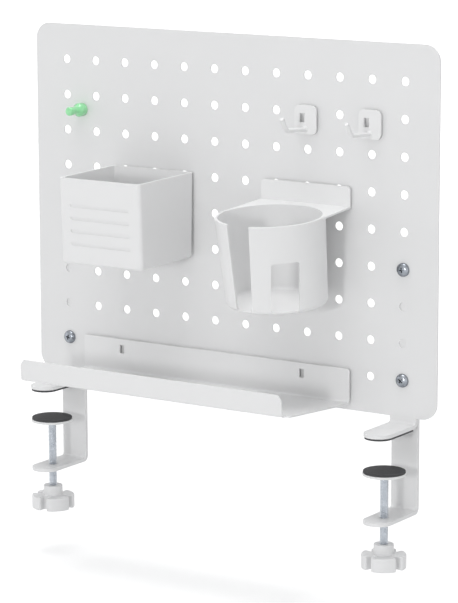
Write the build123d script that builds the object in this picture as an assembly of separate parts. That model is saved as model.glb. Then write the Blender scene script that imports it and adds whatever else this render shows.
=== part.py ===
from build123d import *
import os
from math import sqrt, tan, radians, sin, cos

# Desk-clamped pegboard with a tray, a pen box, a cup holder, two hooks and a magnetic pin.
# Millimetres. Z = 0 is the desk top (the underside of the upper jaw pads), Y = 0 is the
# board's front face with the user at -Y, and X = 0 is the board's middle.

# ---- board: thin steel sheet with a square grid of round holes ----
hole_pitch = 25.4
hole_dia = 6.0
columns = 12
rows = 9
side_margin = 26.8            # outer hole centres to the side edges
end_margin = 25.4             # outer hole centres to the top and bottom edges
board_t = 1.0
board_corner_r = 11.5
board_lift = 8.5              # bottom edge above the desk top

# ---- clamp brackets behind the outer columns ----
bracket_w = 20.6
jaw_t = 2.5                   # upper jaw, an L of flat bar
strip_t = 2.5                 # long strip that carries the lower jaw
bend_r = 2.0                  # inside radius of the bar's bends
jaw_reach = 41.5              # jaw tips in front of the board's face
jaw_opening = 56.5            # desk top level down to the lower jaw
jaw_pad_t = 1.5
jaw_pad_inset = 0.5
bracket_rows = (rows - 3, rows)
bracket_screw_dia = 5.0
bracket_hole_play = 0.5       # over the screw, on the diameter
screw_head_dia = 9.5
screw_head_h = 3.0
screw_head_crown = 1.4
recess_w = 1.3                # arms of the cross recess
recess_span = 5.2
recess_depth = 1.7
nut_flats = 8.0
nut_h = 4.0
screw_past_nut = 1.5
thread_play = 0.05            # radial, screws in their threads

# ---- clamp screws, knobs and pressure plates ----
clamp_screw_dia = 6.0
clamp_screw_y = -23.5
clamp_screw_run = 47.8        # pressure plate down to the knob's hub
clamp_screw_grip = 12.0       # pressed into the knob
pad_drop = {"left": 21.2, "right": 23.7}      # pressure pads below the desk top level
pressure_pad_dia = 29.0
pressure_pad_t = 1.5
plate_dia = 29.8
plate_t = 1.7
neck_dia = 4.0                # peened end that holds the plate
neck_play = 0.08              # radial
peen_dia = 6.0
peen_h = 0.5
peen_axial_play = 0.1
peen_side_play = 0.4
knob_dia = 31.0
knob_h = 9.8
knob_lobes = 4
knob_notch_w = 4.4
knob_notch_floor = 8.6        # notch bottom to the knob's axis
knob_edge_r = 1.5             # notch mouths
knob_face_r = 0.9             # rims of both faces
hub_dia = 13.8
hub_h = 7.0
knob_turn = {"left": 7.0, "right": -15.0}     # degrees, as the knobs stand

# ---- what hangs on the board ----
sheet_t = 1.2
seat_gap = 1.8                # backs of the hanging pieces to the board's face
fin_t = 1.2                   # hook fins that pass through the holes
fin_leg_gap = 0.3             # board's back to the legs of the fins
fin_neck_h = 2.0
fin_play = 0.15               # fin edges to the hole's wall
fin_leg_t = 1.8               # leg behind the board
fin_window_w = 3.8            # opening left where a fin is bent out of the sheet
fin_window_play = 0.3

tray_column = 6
tray_row = rows
tray_hook_columns = 3         # hooks this many columns to each side
tray_w = 224.0
tray_depth = 83.0
tray_floor_drop = 20.7        # hook row down to the floor's middle plane at the back
tray_back_rise = 3.8          # back edge above the hook row
tray_floor_tilt = 4.0         # degrees, up towards the front
tray_lip_h = 15.0
tray_lip_lean = 4.0           # degrees, outwards
tray_lip_inset = 3.5          # lip ends inside the floor's ends
tray_lip_corner_r = 6.0
tray_bend_r = 1.6

accessory_row = 4
rim_above_hooks = 2.8

pen_box_column = 4
pen_box_w = 68.4
pen_box_d = 66.0              # at the rim
pen_box_h = 60.4
pen_box_wall = 1.8
pen_box_front_draft = 1.5     # front face set back at the base
pen_box_rear_draft = 2.5      # rear face set forward at the base
pen_box_droop = 0.8           # degrees, front downwards
pen_box_corner_r = 3.0
pen_box_rear_r = 2.2
pen_box_base_r = 2.0
pen_box_inner_r = 1.2
pen_box_floor_r = 0.9
groove_count = 4
groove_w = 50.5
groove_h = 2.4
groove_depth = 0.7
groove_pitch = 9.0
groove_first = 19.0           # rim down to the first groove

cup_column = 9
cup_dia = 74.8
cup_taper = 2.9               # rim radius over base radius
cup_h = 62.2
cup_wall = 2.0
cup_axis_y = 47.6             # rim's centre in front of the board
cup_base_shift = 5.2          # base's centre nearer to the board than the rim's
cup_base_r = 4.5
cup_upstand_w = 71.5
cup_upstand_h = 13.7
cup_upstand_corner_r = 3.0
cup_droop = 3.9               # degrees, front downwards
cup_slot_left = 11.3          # slot's edges to the cup's middle plane
cup_slot_right_top = 6.7
cup_slot_right_base = 2.3
cup_window_w = 19.5
cup_window_angle = -41.4      # degrees from +X
cup_window_top = 25.5         # rim down to the window's top edge
cup_window_corner_r = 2.0

hook_columns = {"left": 9, "right": 11}
hook_row = 2
hook_plate_w = 17.5
hook_plate_h = 20.0
hook_plate_corner_r = 4.0
hook_plate_drop = 4.8         # plate's middle below the hole
hook_arm_dia = 3.2
hook_arm_drop = 11.5          # arm's root below the hole
hook_arm_reach = 27.0         # elbow in front of the board
hook_arm_rise = 1.7           # elbow above the root
hook_tip_out = 6.0            # tip beyond the elbow
hook_tip_up = 8.7
hook_bend_r = 3.0

pin_column = 1                # the nearest hole above and to the left of the pin
pin_row = 2
pin_beside = 13.5
pin_below = 10.1
pin_gap = 0.1
pin_base_dia = 9.6
pin_base_len = 5.6
pin_waist_dia = 5.4
pin_waist_at = 9.6
pin_end_dia = 6.4
pin_len = 17.0
pin_end_r = 1.2
magnet_dia = 7.0
magnet_t = 2.5
magnet_play = 0.05

# ---- derived places ----
board_w = (columns - 1) * hole_pitch + 2 * side_margin
board_h = (rows - 1) * hole_pitch + 2 * end_margin
hole_r = hole_dia / 2
clamp_r = clamp_screw_dia / 2
side_columns = {"left": 1, "right": columns}
accessory_y = -(seat_gap + sheet_t)           # front faces of the hanging sheets

# A fin passes its hole when lifted: its height spans the hole, less the play.
fin_reach = sqrt(hole_r ** 2 - (fin_t / 2) ** 2) - fin_play
fin_top = fin_neck_h - fin_reach
fin_leg_bottom = fin_top - 2 * fin_reach


def column_x(column):
    return (column - (columns + 1) / 2) * hole_pitch


def row_z(row):
    return board_lift + end_margin + (rows - row) * hole_pitch


bracket_top = row_z(bracket_rows[0]) + bracket_w / 2


def bent_sheet(points, thickness, inside_r, x_mid, width):
    """A sheet of constant thickness whose middle line follows (y, z) points."""
    middle = FilletPolyline(*points, radius=inside_r + thickness / 2)
    section = Plane.YZ * trace(middle, line_width=thickness)
    return Pos(x_mid, 0, 0) * extrude(section, width / 2, both=True)


def along_y(sketch, x, z, y_from, y_to):
    """A sketch drawn as seen from the front, run from y_from back to y_to."""
    return Pos(x, y_from, z) * extrude(Plane.XZ * sketch, -(y_to - y_from))


def y_hole(x, z, radius):
    return along_y(Circle(radius), x, z, -jaw_reach, jaw_reach)


def upright(sketch, z_from, z_to):
    return Pos(0, 0, z_from) * extrude(sketch, z_to - z_from)


def corner_cutter(x, z, radius, side, y_from, y_to):
    """Rounds an upper corner at (x, z); side is -1 for a left corner and 1 for a right."""
    square = Pos(-side * radius / 2, -radius / 2) * Rectangle(radius, radius)
    round_part = Pos(-side * radius, -radius) * Circle(radius)
    return along_y(square - round_part, x, z, y_from, y_to)


# ---- board and brackets ----

def make_board():
    holes = Sketch() + GridLocations(hole_pitch, hole_pitch, columns, rows) * Circle(hole_r)
    outline = RectangleRounded(board_w, board_h, board_corner_r)
    return along_y(outline - holes, 0, board_lift + board_h / 2, 0, board_t)


def tongue_plan(x, inset, rear_y):
    """Plan of a jaw: straight sides and a round tip."""
    radius = bracket_w / 2 - inset
    tip_y = bracket_w / 2 - jaw_reach
    straight = Pos(x, (tip_y + rear_y) / 2) * Rectangle(2 * radius, rear_y - tip_y)
    return straight + Pos(x, tip_y) * Circle(radius)


def cut_bracket_holes(bar, x):
    for row in bracket_rows:
        bar -= y_hole(x, row_z(row), (bracket_screw_dia + bracket_hole_play) / 2)
    return bar


def make_bar(x, leg_y, jaw_z, thickness):
    """A flat bar that runs down behind the board and bends forward into a round jaw."""
    path = [(leg_y, bracket_top), (leg_y, jaw_z), (-jaw_reach, jaw_z)]
    bar = bent_sheet(path, thickness, bend_r, x, bracket_w)
    plan = tongue_plan(x, 0, leg_y + thickness)
    bar = bar & upright(plan, jaw_z - thickness, bracket_top + thickness)
    return cut_bracket_holes(bar, x)


def make_upper_jaw(x):
    return make_bar(x, board_t + jaw_t / 2, jaw_pad_t + jaw_t / 2, jaw_t)


def make_clamp_strip(x):
    bar = make_bar(x, board_t + jaw_t + strip_t / 2, -jaw_opening - strip_t / 2, strip_t)
    bore = Pos(x, clamp_screw_y, -jaw_opening) * Cylinder(clamp_r + thread_play, 3 * strip_t)
    return bar - bore


def make_jaw_pad(x):
    rear_y = board_t - bend_r - jaw_pad_inset
    return upright(tongue_plan(x, jaw_pad_inset, rear_y), 0, jaw_pad_t)


def make_bracket_screw(x, z):
    head = along_y(Circle(screw_head_dia / 2), x, z, -screw_head_h, 0)
    head = fillet(head.edges().sort_by(Axis.Y)[0], screw_head_crown)
    cross = Rectangle(recess_span, recess_w) + Rectangle(recess_w, recess_span)
    head -= along_y(cross, x, z, -screw_head_h - recess_depth, recess_depth - screw_head_h)
    shank_end = board_t + jaw_t + strip_t + nut_h + screw_past_nut
    return head + along_y(Circle(bracket_screw_dia / 2), x, z, 0, shank_end)


def make_bracket_nut(x, z):
    front = board_t + jaw_t + strip_t
    hexagon = RegularPolygon(nut_flats / 2, 6, major_radius=False)
    ring = hexagon - Circle(bracket_screw_dia / 2 + thread_play)
    return along_y(ring, x, z, front, front + nut_h)


def at_bracket_holes(make_piece):
    places = [(column_x(column), row_z(row))
              for column in side_columns.values() for row in bracket_rows]
    return Compound([make_piece(x, z) for x, z in places])


# ---- clamp screw, its knob and the pressure plate ----

def make_pressure_pad(x, pad_top):
    sketch = Pos(x, clamp_screw_y) * Circle(pressure_pad_dia / 2)
    return upright(sketch, pad_top - pressure_pad_t, pad_top)


def make_pressure_plate(x, plate_top):
    centre = Pos(x, clamp_screw_y)
    shelf = plate_top - peen_h - peen_axial_play - neck_play
    plate = upright(centre * Circle(plate_dia / 2), plate_top - plate_t, plate_top)
    plate -= upright(centre * Circle(neck_dia / 2 + neck_play), plate_top - plate_t, plate_top)
    return plate - upright(centre * Circle(peen_dia / 2 + peen_side_play), shelf, plate_top)


def make_clamp_screw(x, plate_top):
    centre = Pos(x, clamp_screw_y)
    shoulder = plate_top - plate_t
    peen_top = plate_top - neck_play
    foot = shoulder - clamp_screw_run - clamp_screw_grip
    screw = upright(centre * Circle(clamp_r), foot, shoulder)
    screw += upright(centre * Circle(neck_dia / 2), shoulder, peen_top)
    return screw + upright(centre * Circle(peen_dia / 2), peen_top - peen_h, peen_top)


def knob_outline():
    """A round knob with wide lobes between narrow notches."""
    radius = knob_dia / 2
    length = radius - knob_notch_floor + knob_notch_w
    middle = knob_notch_floor + length / 2
    notches = PolarLocations(middle, knob_lobes) * SlotOverall(length, knob_notch_w)
    outline = Circle(radius) - (Sketch() + notches)
    mouths = [v for v in outline.vertices() if v.center().length > radius - 0.01]
    return fillet(mouths, knob_edge_r)


def make_knob(x, hub_top, turn):
    body = upright(knob_outline(), -hub_h - knob_h, -hub_h)
    rims = body.edges().group_by(Axis.Z)
    body = fillet(rims[0] + rims[-1], knob_face_r)
    knob = body + upright(Circle(hub_dia / 2), -hub_h, 0)
    knob -= upright(Circle(clamp_r), -clamp_screw_grip, 0)
    return Pos(x, clamp_screw_y, hub_top) * Rot(Z=turn) * knob


# ---- hook fins ----

def hook_fin(x, z):
    """A fin that goes through a hole and down behind the board."""
    root = accessory_y + sheet_t / 2
    leg_front = board_t + fin_leg_gap
    leg_back = leg_front + fin_leg_t
    outline = [(root, -fin_reach), (leg_front, -fin_reach), (leg_front, fin_leg_bottom),
               (leg_back, fin_leg_bottom), (leg_back, fin_top), (root, fin_top)]
    section = Plane.YZ * make_face(Polyline(*outline, close=True))
    return Pos(x, 0, z) * extrude(section, fin_t / 2, both=True)


def fin_window(x, z):
    """The opening beside a fin that was bent out of the sheet."""
    height = fin_top - fin_leg_bottom + 2 * fin_window_play
    middle_z = (fin_top + fin_leg_bottom) / 2
    opening = Pos(-(fin_t + fin_window_w) / 2, middle_z) * Rectangle(fin_window_w, height)
    return along_y(opening, x, z, accessory_y - sheet_t, -seat_gap / 2)


# ---- tray ----

def make_tray():
    x = column_x(tray_column)
    hook_z = row_z(tray_row)
    back_y = accessory_y + sheet_t / 2
    back_top = hook_z + tray_back_rise
    floor_z = hook_z - tray_floor_drop
    front_z = floor_z + tray_depth * tan(radians(tray_floor_tilt))
    tip_y = -tray_depth - tray_lip_h * sin(radians(tray_lip_lean))
    tip_z = front_z + tray_lip_h * cos(radians(tray_lip_lean))
    path = [(back_y, back_top), (back_y, floor_z), (-tray_depth, front_z), (tip_y, tip_z)]
    tray = bent_sheet(path, sheet_t, tray_bend_r, x, tray_w)

    relief_y = tray_bend_r + 2 * sheet_t - tray_depth
    for side in (-1, 1):
        end_x = x + side * tray_w / 2
        lip_x = end_x - side * tray_lip_inset
        block = Box(2 * tray_lip_inset, tray_depth, 2 * (tray_lip_h + tray_bend_r + sheet_t))
        tray -= Pos(end_x, relief_y - tray_depth / 2, front_z) * block
        tray -= corner_cutter(lip_x, tip_z + sheet_t, tray_lip_corner_r + sheet_t, side,
                              tip_y - sheet_t, relief_y)
        tray -= corner_cutter(end_x, back_top, tray_bend_r, side, accessory_y, 0)

    for step in (-tray_hook_columns, tray_hook_columns):
        hook_x = column_x(tray_column + step)
        tray -= fin_window(hook_x, hook_z)
        tray += hook_fin(hook_x, hook_z)
    return tray


# ---- holders, drawn with the rim at Z = 0 and then hung by their back edge ----

def hang_holder(shape, x, rim_z, droop):
    """Turns a holder about its back edge, front downwards, and brings it to its place."""
    pivot = Pos(0, -seat_gap, 0)
    return Pos(x, 0, rim_z) * pivot * Rot(X=droop) * pivot.inverse() * shape


# ---- pen box ----

def box_front(z):
    return pen_box_front_draft * -z / pen_box_h - seat_gap - pen_box_d


def box_plan(z, inset, front_r, rear_r):
    """The box's outline at a height below the rim, or its hollow's where inset is the wall."""
    front_y = box_front(z) + inset
    rear_y = pen_box_rear_draft * z / pen_box_h - seat_gap - inset
    plan = Pos(0, (front_y + rear_y) / 2) * Rectangle(pen_box_w - 2 * inset, rear_y - front_y)
    plan = fillet(plan.vertices().group_by(Axis.Y)[0], front_r)
    plan = fillet(plan.vertices().group_by(Axis.Y)[-1], rear_r)
    return Pos(0, 0, z) * plan


def round_box(z_from, z_to, inset, front_r, rear_r, base_r):
    body = loft([box_plan(z, inset, front_r, rear_r) for z in (z_from, z_to)])
    return fillet(body.edges().group_by(Axis.Z)[0], base_r)


def make_pen_box():
    x = column_x(pen_box_column)
    hook_z = row_z(accessory_row)
    box = round_box(-pen_box_h, 0, 0, pen_box_corner_r, pen_box_rear_r, pen_box_base_r)
    box -= round_box(pen_box_wall - pen_box_h, pen_box_wall, pen_box_wall, pen_box_inner_r,
                     pen_box_inner_r, pen_box_floor_r)
    for number in range(groove_count):
        z = -groove_first - number * groove_pitch
        slot = SlotOverall(groove_w, groove_h)
        box -= along_y(slot, 0, z, box_front(z) - pen_box_wall, box_front(z) + groove_depth)
    box = hang_holder(box, x, hook_z + rim_above_hooks, pen_box_droop)
    for step in (-1, 1):
        box += hook_fin(column_x(pen_box_column + step), hook_z)
    return box


# ---- cup holder ----

def cup_form(z_from, z_to, inset):
    """The cup's tapered form, whose base stands nearer to the board than its rim."""
    rings = []
    for z in (z_from, z_to):
        share = -z / cup_h
        ring = Circle(cup_dia / 2 - cup_taper * share - inset)
        rings.append(Pos(0, cup_base_shift * share - cup_axis_y, z) * ring)
    return loft(rings)


def make_cup():
    rim_r = cup_dia / 2
    floor_z = cup_wall - cup_h
    outside = cup_form(-cup_h, 0, 0)
    outside = fillet(outside.edges().sort_by(Axis.Z)[0], cup_base_r)
    inside = cup_form(floor_z, 0, cup_wall)
    inside = fillet(inside.edges().sort_by(Axis.Z)[0], cup_base_r - cup_wall)

    wings = [(-rim_r, -cup_axis_y), (-cup_upstand_w / 2, -seat_gap),
             (cup_upstand_w / 2, -seat_gap), (rim_r, -cup_axis_y)]
    plan = make_face(Polyline(*wings, close=True)) + Pos(0, -cup_axis_y) * Circle(rim_r)
    flange = upright(plan, -sheet_t, 0)

    corners = [(-cup_slot_left, cup_wall), (-cup_slot_left, floor_z),
               (cup_slot_right_base, floor_z), (cup_slot_right_top, cup_wall)]
    slot = along_y(make_face(Polyline(*corners, close=True)), 0, 0, -cup_dia, 0)
    window_h = -floor_z - cup_window_top
    window = RectangleRounded(cup_window_w, window_h, cup_window_corner_r)
    window = Rot(Z=90 + cup_window_angle) * along_y(window, 0, floor_z + window_h / 2, -cup_dia, 0)
    axis = Pos(0, -cup_axis_y, 0)
    return flange + outside - inside - axis * slot - axis * window


def make_cup_holder():
    x = column_x(cup_column)
    hook_z = row_z(accessory_row)
    top = hook_z + rim_above_hooks
    rim_z = top - cup_upstand_h
    holder = hang_holder(make_cup(), x, rim_z, cup_droop)

    foot_z = rim_z - sheet_t
    upstand = Rectangle(cup_upstand_w, top - foot_z)
    holder += along_y(upstand, x, (top + foot_z) / 2, accessory_y, -seat_gap)
    for side in (-1, 1):
        holder -= corner_cutter(x + side * cup_upstand_w / 2, top, cup_upstand_corner_r, side,
                                accessory_y, 0)
    for step in (-1, 1):
        holder += hook_fin(column_x(cup_column + step), hook_z)
    return holder


# ---- single hooks ----

def make_hook_plate(x, z):
    outline = RectangleRounded(hook_plate_w, hook_plate_h, hook_plate_corner_r)
    plate = along_y(outline, x, z - hook_plate_drop, accessory_y, -seat_gap)
    return plate - fin_window(x, z) + hook_fin(x, z)


def make_hook_arm(x, z):
    root_z = z - hook_arm_drop
    elbow_z = root_z + hook_arm_rise
    points = [(x, accessory_y, root_z), (x, -hook_arm_reach, elbow_z),
              (x, -hook_arm_reach - hook_tip_out, elbow_z + hook_tip_up)]
    path = FilletPolyline(*points, radius=hook_bend_r)
    section = Plane(origin=points[0], z_dir=(0, -1, 0)) * Circle(hook_arm_dia / 2)
    return sweep(section, path)


# ---- magnetic pin ----

def at_pin(shape):
    x = column_x(pin_column) + pin_beside
    return Pos(x, -pin_gap, row_z(pin_row) - pin_below) * Rot(X=90) * shape


def make_pin():
    base_r = pin_base_dia / 2
    end_r = pin_end_dia / 2
    outline = Polyline((0, 0), (base_r, 0), (base_r, pin_base_len),
                       (pin_waist_dia / 2, pin_waist_at), (end_r, pin_len), (0, pin_len),
                       close=True)
    section = make_face(outline)
    corners = [v for v in section.vertices() if v.X > 0 and v.Y > pin_base_len / 2]
    section = fillet(corners, pin_end_r)
    body = revolve(Plane.XZ * section, Axis.Z)
    body -= upright(Circle(magnet_dia / 2 + magnet_play), 0, magnet_t + magnet_play)
    return at_pin(body)


def make_pin_magnet():
    return at_pin(upright(Circle(magnet_dia / 2), 0, magnet_t))


def make_parts():
    parts = {
        "pegboard_panel": make_board(),
        "bracket_screws": at_bracket_holes(make_bracket_screw),
        "bracket_nuts": at_bracket_holes(make_bracket_nut),
        "tray": make_tray(),
        "pen_box": make_pen_box(),
        "cup_holder": make_cup_holder(),
        "push_pin": make_pin(),
        "push_pin_magnet": make_pin_magnet(),
    }
    for side, column in side_columns.items():
        x = column_x(column)
        pad_top = -pad_drop[side]
        plate_top = pad_top - pressure_pad_t
        hub_top = plate_top - plate_t - clamp_screw_run
        parts[side + "_upper_jaw"] = make_upper_jaw(x)
        parts[side + "_clamp_strip"] = make_clamp_strip(x)
        parts[side + "_jaw_pad"] = make_jaw_pad(x)
        parts[side + "_pressure_pad"] = make_pressure_pad(x, pad_top)
        parts[side + "_pressure_plate"] = make_pressure_plate(x, plate_top)
        parts[side + "_clamp_screw"] = make_clamp_screw(x, plate_top)
        parts[side + "_knob"] = make_knob(x, hub_top, knob_turn[side])
    for side, column in hook_columns.items():
        parts[side + "_hook_plate"] = make_hook_plate(column_x(column), row_z(hook_row))
        parts[side + "_hook_arm"] = make_hook_arm(column_x(column), row_z(hook_row))
    return parts


os.makedirs("parts", exist_ok=True)
for name, shape in make_parts().items():
    export_step(shape, "parts/" + name + ".step")
print("fin lift", round(-fin_reach - fin_leg_bottom, 3))
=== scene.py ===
import bpy, bmesh
from math import radians, pi, cos
from mathutils import Vector, Matrix


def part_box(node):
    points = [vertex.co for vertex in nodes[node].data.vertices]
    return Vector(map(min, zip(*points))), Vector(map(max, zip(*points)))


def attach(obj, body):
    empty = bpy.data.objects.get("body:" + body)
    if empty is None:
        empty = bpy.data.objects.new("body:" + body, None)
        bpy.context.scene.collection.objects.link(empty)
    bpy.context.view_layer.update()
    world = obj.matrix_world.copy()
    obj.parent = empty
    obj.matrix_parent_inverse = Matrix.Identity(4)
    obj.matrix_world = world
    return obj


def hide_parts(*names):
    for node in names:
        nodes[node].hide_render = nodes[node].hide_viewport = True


# Desk pegboard with two screw clamps, a long tray, a pen box, a slotted cup holder, two hooks
# and a green magnetic pin. Sizes in mm are turned to metres with the value mm.

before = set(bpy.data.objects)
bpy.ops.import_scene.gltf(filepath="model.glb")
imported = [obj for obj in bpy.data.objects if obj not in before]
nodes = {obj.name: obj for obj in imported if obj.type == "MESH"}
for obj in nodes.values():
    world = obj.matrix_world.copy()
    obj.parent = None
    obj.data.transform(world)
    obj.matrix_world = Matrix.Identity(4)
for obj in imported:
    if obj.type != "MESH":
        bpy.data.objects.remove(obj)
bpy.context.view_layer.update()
mm = 0.001
sides = ("left", "right")
cleaning = {"joinDistance": 0.001, "closeDistance": 0.002, "flatAngle": 0.5, "normalWeight": 50}
colourA, colourB, mixedColour = 6, 7, 2   # sockets of the colour mix node


# small helpers

def deselectAll():
    bpy.ops.object.select_all(action='DESELECT')


def pick(piece):
    deselectAll()
    piece.select_set(True)
    bpy.context.view_layer.objects.active = piece


def startEdit(piece):
    pick(piece)
    bpy.ops.object.mode_set(mode='EDIT')


def endEdit():
    bpy.ops.object.mode_set(mode='OBJECT')


def chooseFaces(piece, wanted):   # in edit mode
    shape = bmesh.from_edit_mesh(piece.data)
    for face in shape.faces:
        face.select_set(bool(wanted(face)))
    shape.select_flush_mode()
    bmesh.update_edit_mesh(piece.data)


def applyPlace(piece):
    pick(piece)
    bpy.ops.object.transform_apply(location=True, rotation=True, scale=True)


def modify(piece, kind, **values):
    pick(piece)
    modifier = piece.modifiers.new(kind.title(), kind)
    for name, value in values.items():
        setattr(modifier, name, value)
    bpy.ops.object.modifier_apply(modifier=modifier.name)


def softenEdges(piece, width, segments=2, angle=35):
    modify(piece, 'BEVEL', width=width, segments=segments, limit_method='ANGLE',
           angle_limit=radians(angle), use_clamp_overlap=True)
    pick(piece)
    bpy.ops.object.shade_smooth_by_angle(angle=radians(angle))
    modify(piece, 'WEIGHTED_NORMAL', mode='FACE_AREA', weight=cleaning["normalWeight"],
           keep_sharp=True)


# a first vertex, extruded from point to point
def drawLine(name, points):
    bpy.ops.mesh.primitive_plane_add(size=mm, location=(0, 0, 0))
    line = bpy.context.active_object
    line.name = name
    startEdit(line)
    bpy.ops.mesh.select_all(action='SELECT')
    bpy.ops.mesh.merge(type='CENTER')
    bpy.ops.transform.translate(value=Vector(points[0]))
    for here, there in zip(points, points[1:]):
        bpy.ops.mesh.extrude_region_move(
            TRANSFORM_OT_translate={"value": Vector(there) - Vector(here)})
    endEdit()
    return line


def closeShape(piece, inside=False):
    startEdit(piece)
    bpy.ops.mesh.select_all(action='SELECT')
    bpy.ops.mesh.remove_doubles(threshold=cleaning["closeDistance"] * mm)
    bpy.ops.mesh.normals_make_consistent(inside=inside)
    endEdit()


# spins an outline of (radius, height) in mm round Z
def turnProfile(name, points, steps=48):
    piece = drawLine(name, [(r * mm, 0, z * mm) for r, z in points])
    startEdit(piece)
    bpy.ops.mesh.select_all(action='SELECT')
    bpy.ops.mesh.spin(steps=steps, angle=2 * pi, center=(0, 0, 0), axis=(0, 0, 1))
    endEdit()
    closeShape(piece)
    return piece


# puts the piece's place in its mesh
def moveShape(piece, matrix):
    piece.matrix_world = matrix @ piece.matrix_world
    applyPlace(piece)


def joinPieces(first, others):
    deselectAll()
    for piece in others:
        piece.select_set(True)
    first.select_set(True)
    bpy.context.view_layer.objects.active = first
    bpy.ops.object.join()
    return first


def copyPiece(piece, offset):
    twin = bpy.data.objects.new(piece.name + "Copy", piece.data.copy())
    bpy.context.scene.collection.objects.link(twin)
    twin.data.transform(Matrix.Translation(offset))
    return twin


def cutWith(piece, cutter, keep=False, how='DIFFERENCE'):
    modify(piece, 'BOOLEAN', operation=how, object=cutter, solver='EXACT')
    if not keep:
        bpy.data.objects.remove(cutter)


def dress(piece, material):
    piece.data.materials.clear()
    piece.data.materials.append(material)


def finishPiece(piece, name, body, replaced, material):
    piece.name = name
    dress(piece, material)
    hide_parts(*replaced)
    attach(piece, body)


# shader groups that several finishes share

def newGroup(name, inputs, outputs):
    group = bpy.data.node_groups.new(name, 'ShaderNodeTree')
    for label, kind, value in inputs:
        socket = group.interface.new_socket(name=label, in_out='INPUT', socket_type=kind)
        socket.default_value = value
    for label, kind in outputs:
        group.interface.new_socket(name=label, in_out='OUTPUT', socket_type=kind)
    return group, group.nodes.new('NodeGroupInput'), group.nodes.new('NodeGroupOutput')


def addNode(tree, kind, **values):
    node = tree.nodes.new(kind)
    for name, value in values.items():
        if hasattr(node, name):
            setattr(node, name, value)
        else:
            node.inputs[name.replace("_", " ")].default_value = value
    return node


def link(tree, source, target):
    tree.links.new(source, target)


groupOutputs = [("Color", 'NodeSocketColor'), ("Roughness", 'NodeSocketFloat'),
                ("Height", 'NodeSocketFloat')]


# fine pebbling and faint clouds of a baked powder coat
def makeCoatGrain():
    group, given, result = newGroup("coatGrain", [
        ("Light Colour", 'NodeSocketColor', (0.86, 0.86, 0.86, 1)),
        ("Deep Colour", 'NodeSocketColor', (0.80, 0.80, 0.81, 1)),
        ("Grain Size", 'NodeSocketFloat', 1400.0),
        ("Cloud Size", 'NodeSocketFloat', 14.0),
        ("Smooth", 'NodeSocketFloat', 0.36),
        ("Rough", 'NodeSocketFloat', 0.5)],
        groupOutputs)
    place = addNode(group, 'ShaderNodeTexCoord')
    grain = addNode(group, 'ShaderNodeTexNoise', Detail=2.0, Roughness=0.55)
    clouds = addNode(group, 'ShaderNodeTexNoise', Detail=3.0, Roughness=0.6)
    for node, size in ((grain, "Grain Size"), (clouds, "Cloud Size")):
        link(group, place.outputs["Object"], node.inputs["Vector"])
        link(group, given.outputs[size], node.inputs["Scale"])
    blend = addNode(group, 'ShaderNodeMix', data_type='RGBA')
    link(group, clouds.outputs["Fac"], blend.inputs[0])
    link(group, given.outputs["Light Colour"], blend.inputs[colourA])
    link(group, given.outputs["Deep Colour"], blend.inputs[colourB])
    gloss = addNode(group, 'ShaderNodeMapRange')
    link(group, grain.outputs["Fac"], gloss.inputs["Value"])
    link(group, given.outputs["Smooth"], gloss.inputs["To Min"])
    link(group, given.outputs["Rough"], gloss.inputs["To Max"])
    link(group, blend.outputs[mixedColour], result.inputs["Color"])
    link(group, gloss.outputs["Result"], result.inputs["Roughness"])
    link(group, grain.outputs["Fac"], result.inputs["Height"])
    return group


# small flecks over a ground colour, for rubber and moulded plastic
def makeSpeckle():
    group, given, result = newGroup("speckle", [
        ("Ground", 'NodeSocketColor', (0.05, 0.05, 0.055, 1)),
        ("Fleck", 'NodeSocketColor', (0.12, 0.12, 0.125, 1)),
        ("Fleck Size", 'NodeSocketFloat', 900.0),
        ("Fleck Amount", 'NodeSocketFloat', 0.62),
        ("Smooth", 'NodeSocketFloat', 0.55),
        ("Rough", 'NodeSocketFloat', 0.8)],
        groupOutputs)
    place = addNode(group, 'ShaderNodeTexCoord')
    fine = addNode(group, 'ShaderNodeTexNoise', Detail=3.0, Roughness=0.65)
    link(group, place.outputs["Object"], fine.inputs["Vector"])
    link(group, given.outputs["Fleck Size"], fine.inputs["Scale"])
    edge = addNode(group, 'ShaderNodeMapRange', From_Max=0.8)
    link(group, fine.outputs["Fac"], edge.inputs["Value"])
    link(group, given.outputs["Fleck Amount"], edge.inputs["From Min"])
    blend = addNode(group, 'ShaderNodeMix', data_type='RGBA')
    link(group, edge.outputs["Result"], blend.inputs[0])
    link(group, given.outputs["Ground"], blend.inputs[colourA])
    link(group, given.outputs["Fleck"], blend.inputs[colourB])
    gloss = addNode(group, 'ShaderNodeMapRange')
    link(group, fine.outputs["Fac"], gloss.inputs["Value"])
    link(group, given.outputs["Smooth"], gloss.inputs["To Min"])
    link(group, given.outputs["Rough"], gloss.inputs["To Max"])
    link(group, blend.outputs[mixedColour], result.inputs["Color"])
    link(group, gloss.outputs["Result"], result.inputs["Roughness"])
    link(group, fine.outputs["Fac"], result.inputs["Height"])
    return group


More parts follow.
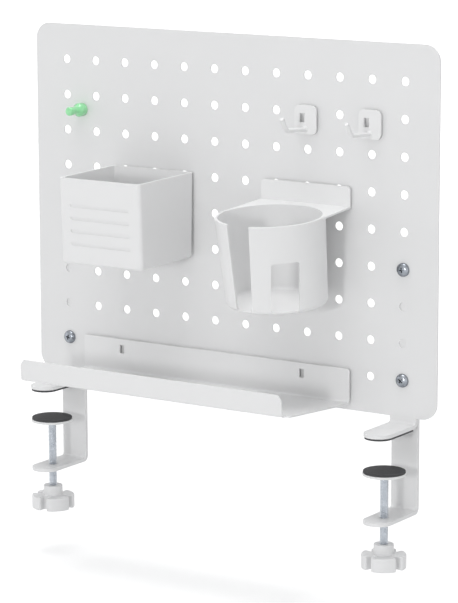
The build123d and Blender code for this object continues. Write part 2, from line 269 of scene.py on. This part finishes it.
# cloudy blue and grey tones and fine lines of zinc plating
def makePlatingHaze():
    group, given, result = newGroup("platingHaze", [
        ("Bright", 'NodeSocketColor', (0.40, 0.42, 0.45, 1)),
        ("Dull", 'NodeSocketColor', (0.16, 0.18, 0.21, 1)),
        ("Haze Size", 'NodeSocketFloat', 220.0),
        ("Smooth", 'NodeSocketFloat', 0.16),
        ("Rough", 'NodeSocketFloat', 0.34)],
        groupOutputs)
    place = addNode(group, 'ShaderNodeTexCoord')
    haze = addNode(group, 'ShaderNodeTexNoise', Detail=4.0, Roughness=0.6)
    link(group, place.outputs["Object"], haze.inputs["Vector"])
    link(group, given.outputs["Haze Size"], haze.inputs["Scale"])
    lines = addNode(group, 'ShaderNodeTexNoise', Detail=1.0, Scale=2600.0)
    link(group, place.outputs["Object"], lines.inputs["Vector"])
    blend = addNode(group, 'ShaderNodeMix', data_type='RGBA')
    link(group, haze.outputs["Fac"], blend.inputs[0])
    link(group, given.outputs["Bright"], blend.inputs[colourA])
    link(group, given.outputs["Dull"], blend.inputs[colourB])
    gloss = addNode(group, 'ShaderNodeMapRange')
    link(group, haze.outputs["Fac"], gloss.inputs["Value"])
    link(group, given.outputs["Smooth"], gloss.inputs["To Min"])
    link(group, given.outputs["Rough"], gloss.inputs["To Max"])
    link(group, blend.outputs[mixedColour], result.inputs["Color"])
    link(group, gloss.outputs["Result"], result.inputs["Roughness"])
    link(group, lines.outputs["Fac"], result.inputs["Height"])
    return group


groups = {"coatGrain": makeCoatGrain(), "speckle": makeSpeckle(), "platingHaze": makePlatingHaze()}
print("shared shader groups ready")


def makeFinish(name, groupName, inputs, shader, bumpStrength, bumpDistance):
    material = bpy.data.materials.new(name)
    material.use_nodes = True
    tree = material.node_tree
    surface = tree.nodes["Principled BSDF"]
    effect = addNode(tree, 'ShaderNodeGroup', node_tree=groups[groupName])
    for label, value in inputs.items():
        effect.inputs[label].default_value = value
    for label, value in shader.items():
        surface.inputs[label].default_value = value
    bump = addNode(tree, 'ShaderNodeBump', Strength=bumpStrength, Distance=bumpDistance)
    link(tree, effect.outputs["Color"], surface.inputs["Base Color"])
    link(tree, effect.outputs["Roughness"], surface.inputs["Roughness"])
    link(tree, effect.outputs["Height"], bump.inputs["Height"])
    link(tree, bump.outputs["Normal"], surface.inputs["Normal"])
    return material


def grey(value, blue=0.0):
    return (value, value, value + blue, 1)


finishes = {
    "boardCoat": makeFinish("boardCoat", "coatGrain",
                            {"Light Colour": grey(0.80), "Deep Colour": grey(0.77, 0.004)},
                            {"Specular IOR Level": 0.4}, 0.12, 0.00008),
    "steelCoat": makeFinish("steelCoat", "coatGrain",
                            {"Light Colour": grey(0.82), "Deep Colour": grey(0.79, 0.004),
                             "Cloud Size": 22.0},
                            {"Specular IOR Level": 0.4}, 0.12, 0.00008),
    "accessoryCoat": makeFinish("accessoryCoat", "coatGrain",
                                {"Light Colour": grey(0.83), "Deep Colour": grey(0.80, 0.003),
                                 "Cloud Size": 30.0, "Smooth": 0.32, "Rough": 0.46},
                                {"Specular IOR Level": 0.45}, 0.1, 0.00006),
    "blackRubber": makeFinish("blackRubber", "speckle",
                              {"Ground": grey(0.052, 0.003), "Fleck": grey(0.11, 0.004)},
                              {"Specular IOR Level": 0.35}, 0.35, 0.00015),
    "zincPlate": makeFinish("zincPlate", "platingHaze", {}, {"Metallic": 1.0}, 0.04, 0.00003),
    "brightZinc": makeFinish("brightZinc", "platingHaze",
                             {"Bright": (0.72, 0.74, 0.77, 1), "Dull": (0.50, 0.53, 0.57, 1)},
                             {"Metallic": 1.0}, 0.04, 0.00003),
    "whiteKnobPlastic": makeFinish("whiteKnobPlastic", "speckle",
                                   {"Ground": grey(0.80, 0.004), "Fleck": grey(0.84),
                                    "Fleck Size": 260.0, "Smooth": 0.3, "Rough": 0.42},
                                   {"Specular IOR Level": 0.5}, 0.06, 0.00006),
    "greenPinPlastic": makeFinish("greenPinPlastic", "speckle",
                                  {"Ground": (0.26, 0.74, 0.34, 1), "Fleck": (0.34, 0.80, 0.42, 1),
                                   "Fleck Size": 160.0, "Fleck Amount": 0.3,
                                   "Smooth": 0.14, "Rough": 0.24},
                                  {"Specular IOR Level": 0.5, "Coat Weight": 0.6,
                                   "Coat Roughness": 0.06}, 0.03, 0.00004),
    "magnetPlate": makeFinish("magnetPlate", "platingHaze",
                              {"Bright": grey(0.72), "Dull": grey(0.5), "Haze Size": 500.0},
                              {"Metallic": 1.0}, 0.04, 0.00003),
}
print("finishes ready:", len(finishes))


# folded and pressed sheet pieces, with softened edges

sheetPieces = {
    "pegboard_panel": {"name": "pegboardPanel", "body": "board", "edge": 0.22,
                       "finish": "boardCoat"},
    "left_upper_jaw": {"name": "leftUpperJaw", "body": "board", "edge": 0.45,
                       "finish": "steelCoat"},
    "right_upper_jaw": {"name": "rightUpperJaw", "body": "board", "edge": 0.45,
                        "finish": "steelCoat"},
    "left_clamp_strip": {"name": "leftClampStrip", "body": "board", "edge": 0.45,
                         "finish": "steelCoat"},
    "right_clamp_strip": {"name": "rightClampStrip", "body": "board", "edge": 0.45,
                          "finish": "steelCoat"},
    "left_jaw_pad": {"name": "leftJawPad", "body": "board", "edge": 0.25,
                     "finish": "blackRubber"},
    "right_jaw_pad": {"name": "rightJawPad", "body": "board", "edge": 0.25,
                      "finish": "blackRubber"},
    "left_pressure_pad": {"name": "leftPressurePad", "body": "left_pressure_foot", "edge": 0.3,
                          "finish": "blackRubber"},
    "right_pressure_pad": {"name": "rightPressurePad", "body": "right_pressure_foot",
                           "edge": 0.3, "finish": "blackRubber"},
    "left_pressure_plate": {"name": "leftPressurePlate", "body": "left_pressure_foot",
                            "edge": 0.35, "finish": "steelCoat"},
    "right_pressure_plate": {"name": "rightPressurePlate", "body": "right_pressure_foot",
                             "edge": 0.35, "finish": "steelCoat"},
    "tray": {"name": "longTray", "body": "tray", "edge": 0.25, "finish": "accessoryCoat"},
    "pen_box": {"name": "penBox", "body": "pen_box", "edge": 0.55, "finish": "accessoryCoat"},
    "cup_holder": {"name": "cupHolder", "body": "cup_holder", "edge": 0.6,
                   "finish": "accessoryCoat"},
    "left_hook_plate": {"name": "leftHookPlate", "body": "left_hook", "edge": 0.25,
                        "finish": "accessoryCoat"},
    "right_hook_plate": {"name": "rightHookPlate", "body": "right_hook", "edge": 0.25,
                         "finish": "accessoryCoat"},
    "left_hook_arm": {"name": "leftHookArm", "body": "left_hook", "edge": 0.6,
                      "finish": "accessoryCoat"},
    "right_hook_arm": {"name": "rightHookArm", "body": "right_hook", "edge": 0.6,
                       "finish": "accessoryCoat"},
    "left_knob": {"name": "leftKnob", "body": "left_screw", "edge": 0.5,
                  "finish": "whiteKnobPlastic"},
    "right_knob": {"name": "rightKnob", "body": "right_screw", "edge": 0.5,
                   "finish": "whiteKnobPlastic"},
}


def softenedSheet(nodeName, choice):
    piece = bpy.data.objects.new(choice["name"], nodes[nodeName].data.copy())
    bpy.context.scene.collection.objects.link(piece)
    startEdit(piece)
    bpy.ops.mesh.select_all(action='SELECT')
    bpy.ops.mesh.remove_doubles(threshold=cleaning["joinDistance"] * mm)
    bpy.ops.mesh.dissolve_limited(angle_limit=radians(cleaning["flatAngle"]))
    endEdit()
    softenEdges(piece, choice["edge"] * mm)
    finishPiece(piece, choice["name"], choice["body"], [nodeName], finishes[choice["finish"]])


for nodeName, choice in sheetPieces.items():
    softenedSheet(nodeName, choice)
print("sheet pieces softened:", len(sheetPieces))


# threaded rods

threadShape = {"crest": 0.14, "trim": 0.06, "spareTurns": 3, "startTurns": 1.5, "smoothAngle": 32}


# a rod with a helical thread, from Z = 0 down to -length, in mm
def threadedRod(name, majorRadius, minorRadius, pitch, length, steps=28):
    crest = pitch * threadShape["crest"]
    flank = (pitch - crest) / 2 - pitch * threadShape["trim"]
    profile = [(minorRadius, 0), (majorRadius, flank), (majorRadius, flank + crest),
               (minorRadius, 2 * flank + crest), (minorRadius, pitch)]
    rod = drawLine(name, [(r * mm, 0, z * mm) for r, z in profile])
    turns = int(length / pitch) + threadShape["spareTurns"]
    modify(rod, 'SCREW', axis='Z', screw_offset=pitch * mm, iterations=turns, steps=steps,
           render_steps=steps, use_merge_vertices=True, merge_threshold=cleaning["joinDistance"] * mm,
           use_normal_calculate=True)
    closeShape(rod)
    start = (turns - threadShape["startTurns"]) * pitch
    moveShape(rod, Matrix.Translation((0, 0, -start * mm)))
    for height, clearUpper in ((0, True), (-length, False)):
        startEdit(rod)
        bpy.ops.mesh.select_all(action='SELECT')
        bpy.ops.mesh.bisect(plane_co=(0, 0, height * mm), plane_no=(0, 0, 1), use_fill=True,
                            clear_outer=clearUpper, clear_inner=not clearUpper)
        endEdit()
    closeShape(rod)
    pick(rod)
    bpy.ops.object.shade_smooth_by_angle(angle=radians(threadShape["smoothAngle"]))
    return rod


clampScrew = {"major": 2.98, "minor": 2.42, "pitch": 1.0, "collarRadius": 2.6, "collarHeight": 1.6,
              "neckRadius": 2.0, "footChamfer": 1.2, "overlap": 0.4, "chamfer": 0.3,
              "peenWidth": 0.9, "peenHeight": 0.5, "peenChamfer": 0.2,
              "tipRadius": 1.6, "tipRim": 2.3, "tipOverlap": 0.2}


def makeClampScrew(side):
    low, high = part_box(side + "_clamp_screw")
    centre = (low + high) / 2
    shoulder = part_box(side + "_pressure_plate")[0].z / mm
    threadTop = shoulder - clampScrew["collarHeight"]
    threadFoot = low.z / mm + clampScrew["footChamfer"]
    rod = threadedRod("rod", clampScrew["major"], clampScrew["minor"], clampScrew["pitch"],
                      threadTop - threadFoot)
    moveShape(rod, Matrix.Translation((centre.x, centre.y, threadTop * mm)))
    neck, collar = clampScrew["neckRadius"], clampScrew["collarRadius"]
    overlap, chamfer = clampScrew["overlap"], clampScrew["chamfer"]
    bottom, top = low.z / mm, high.z / mm
    peenRadius = neck + clampScrew["peenWidth"]
    peenFoot, peenChamfer = top - clampScrew["peenHeight"], clampScrew["peenChamfer"]
    head = turnProfile("collar", [(0, threadTop - overlap), (collar - overlap, threadTop - overlap),
                                  (collar, threadTop), (collar, shoulder - chamfer),
                                  (collar - chamfer, shoulder), (neck, shoulder), (neck, peenFoot),
                                  (peenRadius, peenFoot), (peenRadius, top - peenChamfer),
                                  (peenRadius - peenChamfer, top), (0, top)])
    tipTop = threadFoot + clampScrew["tipOverlap"]
    foot = turnProfile("foot", [(0, bottom), (clampScrew["tipRadius"], bottom),
                                (clampScrew["tipRim"], tipTop), (0, tipTop)])
    for part in (head, foot):
        moveShape(part, Matrix.Translation((centre.x, centre.y, 0)))
        pick(part)
        bpy.ops.object.shade_smooth_by_angle(angle=radians(35))
    joinPieces(rod, [head, foot])
    finishPiece(rod, side + "ThreadedScrew", side + "_screw", [side + "_clamp_screw"],
                finishes["brightZinc"])


for side in sides:
    makeClampScrew(side)
print("clamp screws threaded")


# bracket screws with a cross recess, and their nuts

bracketScrew = {"headRadius": 4.75, "headHeight": 3.0, "shankRadius": 2.5, "rootRadius": 2.1,
                "pitch": 0.8, "recessWidth": 1.25, "recessSpan": 5.0, "recessDepth": 1.8,
                "recessTaper": 0.45, "end": 11.5, "tipTrim": 0.6, "tipLength": 0.8, "tipRadius": 2.05,
                "spins": (12, 67, 38, 81)}   # degrees, as the heads stand
bracketNut = {"flats": 8.0, "height": 4.0, "bore": 2.56, "chamfer": 0.55, "edge": 0.12}


# crown towards +Z, seat at Z = 0
def makeScrewHead():
    radius, height = bracketScrew["headRadius"], bracketScrew["headHeight"]
    head = turnProfile("head", [(0, -0.02), (radius - 0.15, -0.02), (radius, 0.15),
                                (radius - 0.02, 0.9), (radius - 0.35, 1.7), (radius - 1.1, 2.4),
                                (radius - 2.2, 2.82), (radius - 3.4, 2.97), (0, height)], 40)
    for turn in (0, 90):
        bpy.ops.mesh.primitive_cube_add(size=1, location=(0, 0, 0))
        blade = bpy.context.active_object
        blade.scale = (bracketScrew["recessSpan"] * mm, bracketScrew["recessWidth"] * mm,
                       2 * bracketScrew["recessDepth"] * mm)
        blade.rotation_euler = (0, 0, radians(turn))
        blade.location = (0, 0, height * mm)
        applyPlace(blade)
        startEdit(blade)
        chooseFaces(blade, lambda face: face.normal.z < -0.9)
        taper = bracketScrew["recessTaper"]
        bpy.ops.transform.resize(value=(taper, taper, 1))
        endEdit()
        cutWith(head, blade)
    return head


# shank centres, read from the loose nuts
def bracketPlaces():
    low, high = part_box("bracket_nuts")
    half = bracketNut["flats"] / 2 * mm
    rim = half / cos(pi / 6)
    return [(x, z) for x in (low.x + rim, high.x - rim) for z in (low.z + half, high.z - half)]


def makeBracketScrews():
    head = makeScrewHead()
    shank = threadedRod("shank", bracketScrew["shankRadius"], bracketScrew["rootRadius"],
                        bracketScrew["pitch"], bracketScrew["end"] - bracketScrew["tipTrim"], 20)
    tipLength, tipRadius = bracketScrew["tipLength"], bracketScrew["tipRadius"]
    tip = turnProfile("tip", [(0, -tipLength), (tipRadius, -tipLength), (tipRadius, 0), (0, 0)], 20)
    moveShape(tip, Matrix.Translation((0, 0, -(bracketScrew["end"] - tipLength) * mm)))
    for part, angle in ((head, 30), (tip, 35)):
        pick(part)
        bpy.ops.object.shade_smooth_by_angle(angle=radians(angle))
    screw = joinPieces(head, [shank, tip])
    moveShape(screw, Matrix.Rotation(radians(90), 4, 'X'))
    twins = []
    for number, (x, z) in enumerate(bracketPlaces()):
        twin = copyPiece(screw, (0, 0, 0))
        spin = Matrix.Rotation(radians(bracketScrew["spins"][number]), 4, 'Y')
        twin.data.transform(Matrix.Translation((x, 0, z)) @ spin)
        twins.append(twin)
    bpy.data.objects.remove(screw)
    screws = joinPieces(twins[0], twins[1:])
    finishPiece(screws, "bracketScrews", "board", ["bracket_screws"], finishes["zincPlate"])


def makeBracketNuts():
    half, height = bracketNut["flats"] / 2, bracketNut["height"]
    rim = half / cos(pi / 6)
    bpy.ops.mesh.primitive_cylinder_add(vertices=6, radius=rim * mm, depth=height * mm,
                                        location=(0, 0, height / 2 * mm))
    nut = bpy.context.active_object
    applyPlace(nut)
    chamfer = bracketNut["chamfer"]
    barrel = turnProfile("barrel", [(0, -0.01), (rim - chamfer, -0.01), (rim + 0.2, chamfer),
                                    (rim + 0.2, height - chamfer), (rim - chamfer, height + 0.01),
                                    (0, height + 0.01)], 48)
    cutWith(nut, barrel, how='INTERSECT')
    drill = turnProfile("drill", [(0, -1), (bracketNut["bore"], -1),
                                  (bracketNut["bore"], height + 1), (0, height + 1)], 32)
    cutWith(nut, drill)
    softenEdges(nut, bracketNut["edge"] * mm, 1, 25)
    moveShape(nut, Matrix.Rotation(radians(-90), 4, 'X') @ Matrix.Rotation(radians(30), 4, 'Z'))
    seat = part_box("bracket_nuts")[0].y
    twins = []
    for x, z in bracketPlaces():
        twins.append(copyPiece(nut, (x, seat, z)))
    bpy.data.objects.remove(nut)
    nuts = joinPieces(twins[0], twins[1:])
    finishPiece(nuts, "bracketNuts", "board", ["bracket_nuts"], finishes["zincPlate"])


makeBracketScrews()
makeBracketNuts()
print("bracket screws and nuts made")


# green pin and its magnet

pushPin = {"outline": [(0, 2.55), (3.55, 2.55), (3.55, 0.05), (4.35, 0.0), (4.65, 0.12),
                       (4.8, 0.45), (4.8, 4.6), (4.72, 5.2), (4.4, 5.75), (3.6, 6.9), (2.9, 8.4),
                       (2.68, 9.6), (2.78, 11.2), (3.0, 13.4), (3.18, 15.2), (3.1, 16.1),
                       (2.6, 16.75), (1.6, 16.97), (0, 17.0)]}
pinMagnet = {"outline": [(0, 0), (3.2, 0), (3.45, 0.12), (3.5, 0.35), (3.5, 2.4), (0, 2.5)]}


def makePin():
    low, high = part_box("push_pin")
    centre = (low + high) / 2
    place = Matrix.Translation((centre.x, high.y, centre.z)) @ Matrix.Rotation(radians(90), 4, 'X')
    pin = turnProfile("pin", pushPin["outline"], 56)
    moveShape(pin, place)
    magnet = turnProfile("magnet", pinMagnet["outline"], 40)
    moveShape(magnet, place)
    for part in (pin, magnet):
        pick(part)
        bpy.ops.object.shade_smooth_by_angle(angle=radians(35))
    finishPiece(pin, "magneticPin", "push_pin", ["push_pin"], finishes["greenPinPlastic"])
    finishPiece(magnet, "pinMagnet", "push_pin", ["push_pin_magnet"], finishes["magnetPlate"])


makePin()
print("pin made")


# weld beads where the hook arms meet their plates

hookWeld = {"armRadius": 1.6,
            "outline": [(0, 0), (2.35, 0), (2.2, 0.22), (1.9, 0.42), (1.7, 0.8), (0, 0.8)]}

for side in sides:
    armLow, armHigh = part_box(side + "_hook_arm")
    bead = turnProfile(side + "HookWeld", hookWeld["outline"], 28)
    rootZ = armLow.z + hookWeld["armRadius"] * mm
    moveShape(bead, Matrix.Translation(((armLow.x + armHigh.x) / 2, armHigh.y, rootZ))
              @ Matrix.Rotation(radians(90), 4, 'X'))
    pick(bead)
    bpy.ops.object.shade_smooth_by_angle(angle=radians(60))
    dress(bead, finishes["accessoryCoat"])
    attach(bead, side + "_hook")
print("hook welds made")


# floor, world, lamps and camera

studio = {"floorLevel": -0.1225, "floorSize": 12.0, "floorGrey": 0.86, "floorRoughness": 0.9,
          "skyTint": (0.98, 0.99, 1, 1), "ambient": 0.52, "aimHeight": 0.09,
          "liftNear": 0.4, "liftFar": 1.0, "liftStart": 0.5, "liftEnd": 1.8}


# 1 for the named kinds of ray, 0 for the light that falls on the object
def shownTo(tree, *rayKinds):
    rays = addNode(tree, 'ShaderNodeLightPath')
    mask = rays.outputs[rayKinds[0]]
    for kind in rayKinds[1:]:
        either = addNode(tree, 'ShaderNodeMath', operation='MAXIMUM')
        link(tree, mask, either.inputs[0])
        link(tree, rays.outputs[kind], either.inputs[1])
        mask = either.outputs[0]
    return mask


def makeFloor():
    bpy.ops.mesh.primitive_plane_add(size=studio["floorSize"], location=(0, 0, studio["floorLevel"]))
    floor = bpy.context.active_object
    floor.name = "studioFloor"
    applyPlace(floor)
    material = bpy.data.materials.new("paleFloor")
    material.use_nodes = True
    tree = material.node_tree
    surface = tree.nodes["Principled BSDF"]
    surface.inputs["Base Color"].default_value = grey(studio["floorGrey"])
    surface.inputs["Roughness"].default_value = studio["floorRoughness"]
    surface.inputs["Specular IOR Level"].default_value = 0.0
    place = addNode(tree, 'ShaderNodeTexCoord')
    away = addNode(tree, 'ShaderNodeVectorMath', operation='LENGTH')
    link(tree, place.outputs["Object"], away.inputs[0])
    rise = addNode(tree, 'ShaderNodeMapRange', interpolation_type='SMOOTHSTEP',
                   From_Min=studio["liftStart"], From_Max=studio["liftEnd"],
                   To_Min=studio["liftNear"], To_Max=studio["liftFar"])
    link(tree, away.outputs["Value"], rise.inputs["Value"])
    lift = addNode(tree, 'ShaderNodeMath', operation='MULTIPLY')
    link(tree, shownTo(tree, "Is Camera Ray", "Is Glossy Ray", "Is Transmission Ray"),
         lift.inputs[0])
    link(tree, rise.outputs["Result"], lift.inputs[1])
    surface.inputs["Emission Color"].default_value = (1, 1, 1, 1)
    link(tree, lift.outputs[0], surface.inputs["Emission Strength"])
    dress(floor, material)


def makeWorld():
    world = bpy.data.worlds.new("studioWorld")
    bpy.context.scene.world = world
    world.use_nodes = True
    tree = world.node_tree
    tree.nodes.clear()
    output = addNode(tree, 'ShaderNodeOutputWorld')
    dim = addNode(tree, 'ShaderNodeBackground', Color=studio["skyTint"], Strength=studio["ambient"])
    white = addNode(tree, 'ShaderNodeBackground', Color=(1, 1, 1, 1), Strength=1.0)
    mix = addNode(tree, 'ShaderNodeMixShader')
    link(tree, shownTo(tree, "Is Camera Ray", "Is Glossy Ray", "Is Transmission Ray"),
         mix.inputs[0])
    link(tree, dim.outputs[0], mix.inputs[1])
    link(tree, white.outputs[0], mix.inputs[2])
    link(tree, mix.outputs[0], output.inputs["Surface"])


lamps = {
    "keyLamp": {"place": (0.41, -2.3, 0.36), "width": 0.22, "power": 9.0},
    "topLamp": {"place": (0.0, -0.12, 1.9), "width": 1.0, "power": 15.0},
    "rightLamp": {"place": (2.0, -0.8, 0.5), "width": 1.4, "power": 3.0},
    "upperLamp": {"place": (0.2, -1.7, 1.5), "width": 1.2, "power": 3.0},
    "leftLamp": {"place": (-1.9, -1.1, 0.4), "width": 1.4, "power": 4.0},
}


def makeLamp(name, choice):
    bpy.ops.object.light_add(type='AREA', location=choice["place"])
    lamp = bpy.context.active_object
    lamp.name = name
    lamp.data.energy = choice["power"]
    lamp.data.size = choice["width"]
    aim = Vector((0, 0, studio["aimHeight"])) - Vector(choice["place"])
    lamp.rotation_euler = aim.to_track_quat('-Z', 'Y').to_euler()
    lamp.visible_camera = False


cameraView = {"place": (1.0828, -1.6444, 0.4464), "turn": 33.385, "tilt": -10.705, "roll": -0.16,
              "lens": 170.58}


def makeCamera():
    bpy.ops.object.camera_add(location=cameraView["place"])
    camera = bpy.context.active_object
    camera.name = "photoCamera"
    turned = (Matrix.Rotation(radians(cameraView["turn"]), 4, 'Z')
              @ Matrix.Rotation(radians(90 + cameraView["tilt"]), 4, 'X')
              @ Matrix.Rotation(radians(cameraView["roll"]), 4, 'Z'))
    camera.rotation_euler = turned.to_euler()
    camera.data.lens = cameraView["lens"]
    camera.data.sensor_width = 36
    bpy.context.scene.camera = camera


makeFloor()
makeWorld()
for name, choice in lamps.items():
    makeLamp(name, choice)
makeCamera()
bpy.context.scene.view_settings.view_transform = 'Standard'
print("studio ready")

deselectAll()
